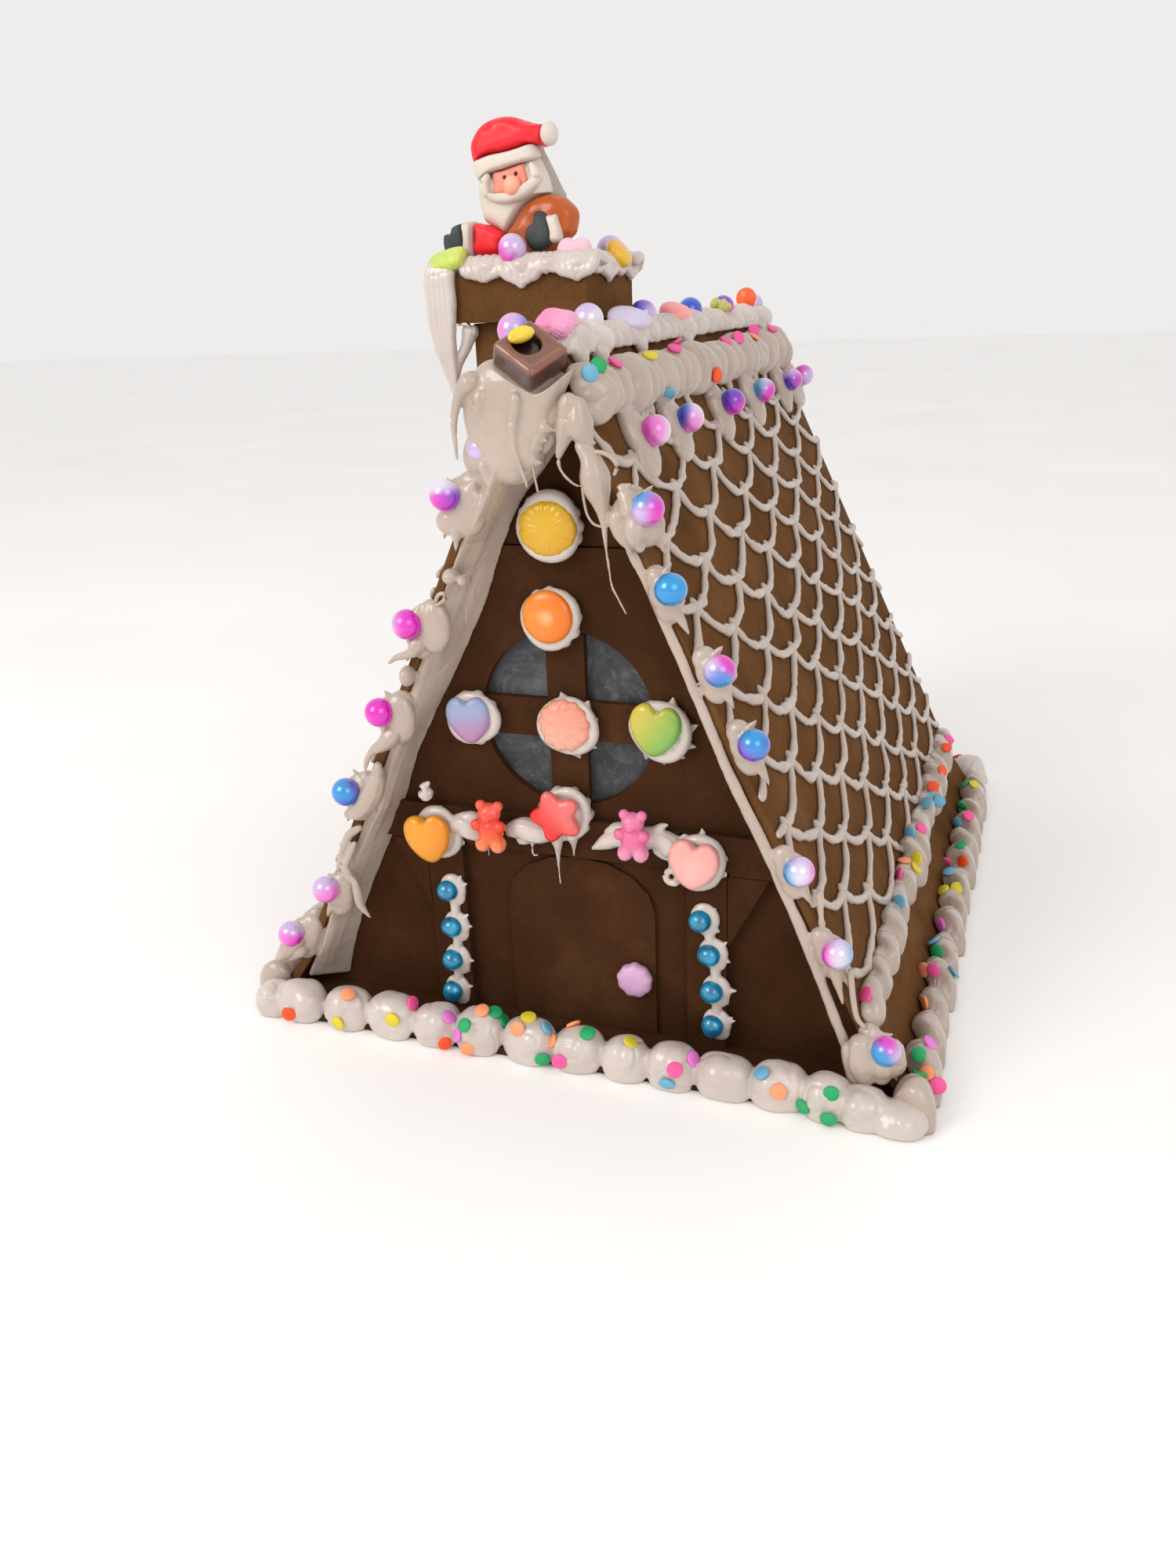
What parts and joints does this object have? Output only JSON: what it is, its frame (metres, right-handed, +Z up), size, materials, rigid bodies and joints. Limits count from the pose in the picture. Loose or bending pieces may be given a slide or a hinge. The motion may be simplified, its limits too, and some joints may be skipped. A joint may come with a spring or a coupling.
{
  "type": "gingerbread house",
  "caption": "Steep A-frame gingerbread house with piped icing, gummy sweets, pearl beads, a round window and a small Santa on its chimney.",
  "frame": {"origin": "middle of the underside of the board that the house stands on", "axes": "+Z up, -Y out of the front wall with the door, +X to the right seen from the front"},
  "size_m": [0.258, 0.3226, 0.31],
  "materials": {
    "wall_brown": "dark brown baked sheet, matt, with fine pores and paler edges",
    "roof_brown": "brown baked sheet, matt, with piped scales of icing in the same brown dust",
    "pane_grey": "mottled dark blue-grey sheet",
    "icing": "warm white piped icing, satin",
    "pearl": "pearly lilac, pink and blue beads",
    "bead_blue": "glossy blue beads",
    "confetti": "small discs in several bright colours",
    "gummy_yellow": "translucent yellow sweet",
    "gummy_orange": "translucent orange sweet",
    "gummy_red": "translucent red sweet",
    "gummy_pink": "translucent pink sweet",
    "gummy_blue": "translucent blue to violet sweet",
    "gummy_green": "translucent yellow-green sweet",
    "gummy_lilac": "milky lilac sweet",
    "milk_brown": "milk chocolate brown, satin",
    "clay_red": "red clay with white, peach, black and orange parts"
  },
  "bodies": {
    "root": {"base_board": "wall_brown", "front_wall": "wall_brown", "gable_panel": "wall_brown", "back_wall": "wall_brown", "window_pane": "pane_grey", "window_cross": "wall_brown", "lintel": "wall_brown", "post_left": "wall_brown", "post_right": "wall_brown", "brace_left": "wall_brown", "brace_right": "wall_brown", "door": "wall_brown", "skirt_left": "roof_brown", "skirt_right": "roof_brown", "ridge_cap": "roof_brown", "roof_left": "roof_brown", "roof_right": "roof_brown", "chimney_shaft": "wall_brown", "chimney_collar": "wall_brown", "chimney_icing": "icing", "base_icing_front": "icing", "base_icing_back": "icing", "base_icing_left": "icing", "base_icing_right": "icing", "eave_icing_left": "icing", "eave_icing_right": "icing", "rope_icing_left": "icing", "rope_icing_right": "icing", "ridge_icing": "icing", "verge_icing_front": "icing", "verge_icing_back": "icing", "lintel_icing_left": "icing", "lintel_icing_right": "icing", "post_icing_left": "icing", "post_icing_right": "icing", "rosette_citrus_slice": "icing", "rosette_orange_ring": "icing", "rosette_blue_heart": "icing", "rosette_shell": "icing", "rosette_green_heart": "icing", "chocolate": "milk_brown", "citrus_slice": "gummy_yellow", "orange_ring": "gummy_orange", "blue_heart": "gummy_blue", "shell": "gummy_pink", "green_heart": "gummy_green", "star": "gummy_red", "orange_heart": "gummy_orange", "pink_heart": "gummy_pink", "red_bear": "gummy_red", "pink_bear": "gummy_pink", "door_knob": "gummy_lilac", "ridge_pink_gummy": "gummy_pink", "ridge_lilac_disc": "gummy_lilac", "ridge_coral_drop": "gummy_red", "ridge_bear": "gummy_green", "rim_lime_gummy": "gummy_green", "rim_pink_heart": "gummy_pink", "rim_yellow_disc": "gummy_yellow", "santa": "clay_red"}
  },
  "joints": []
}
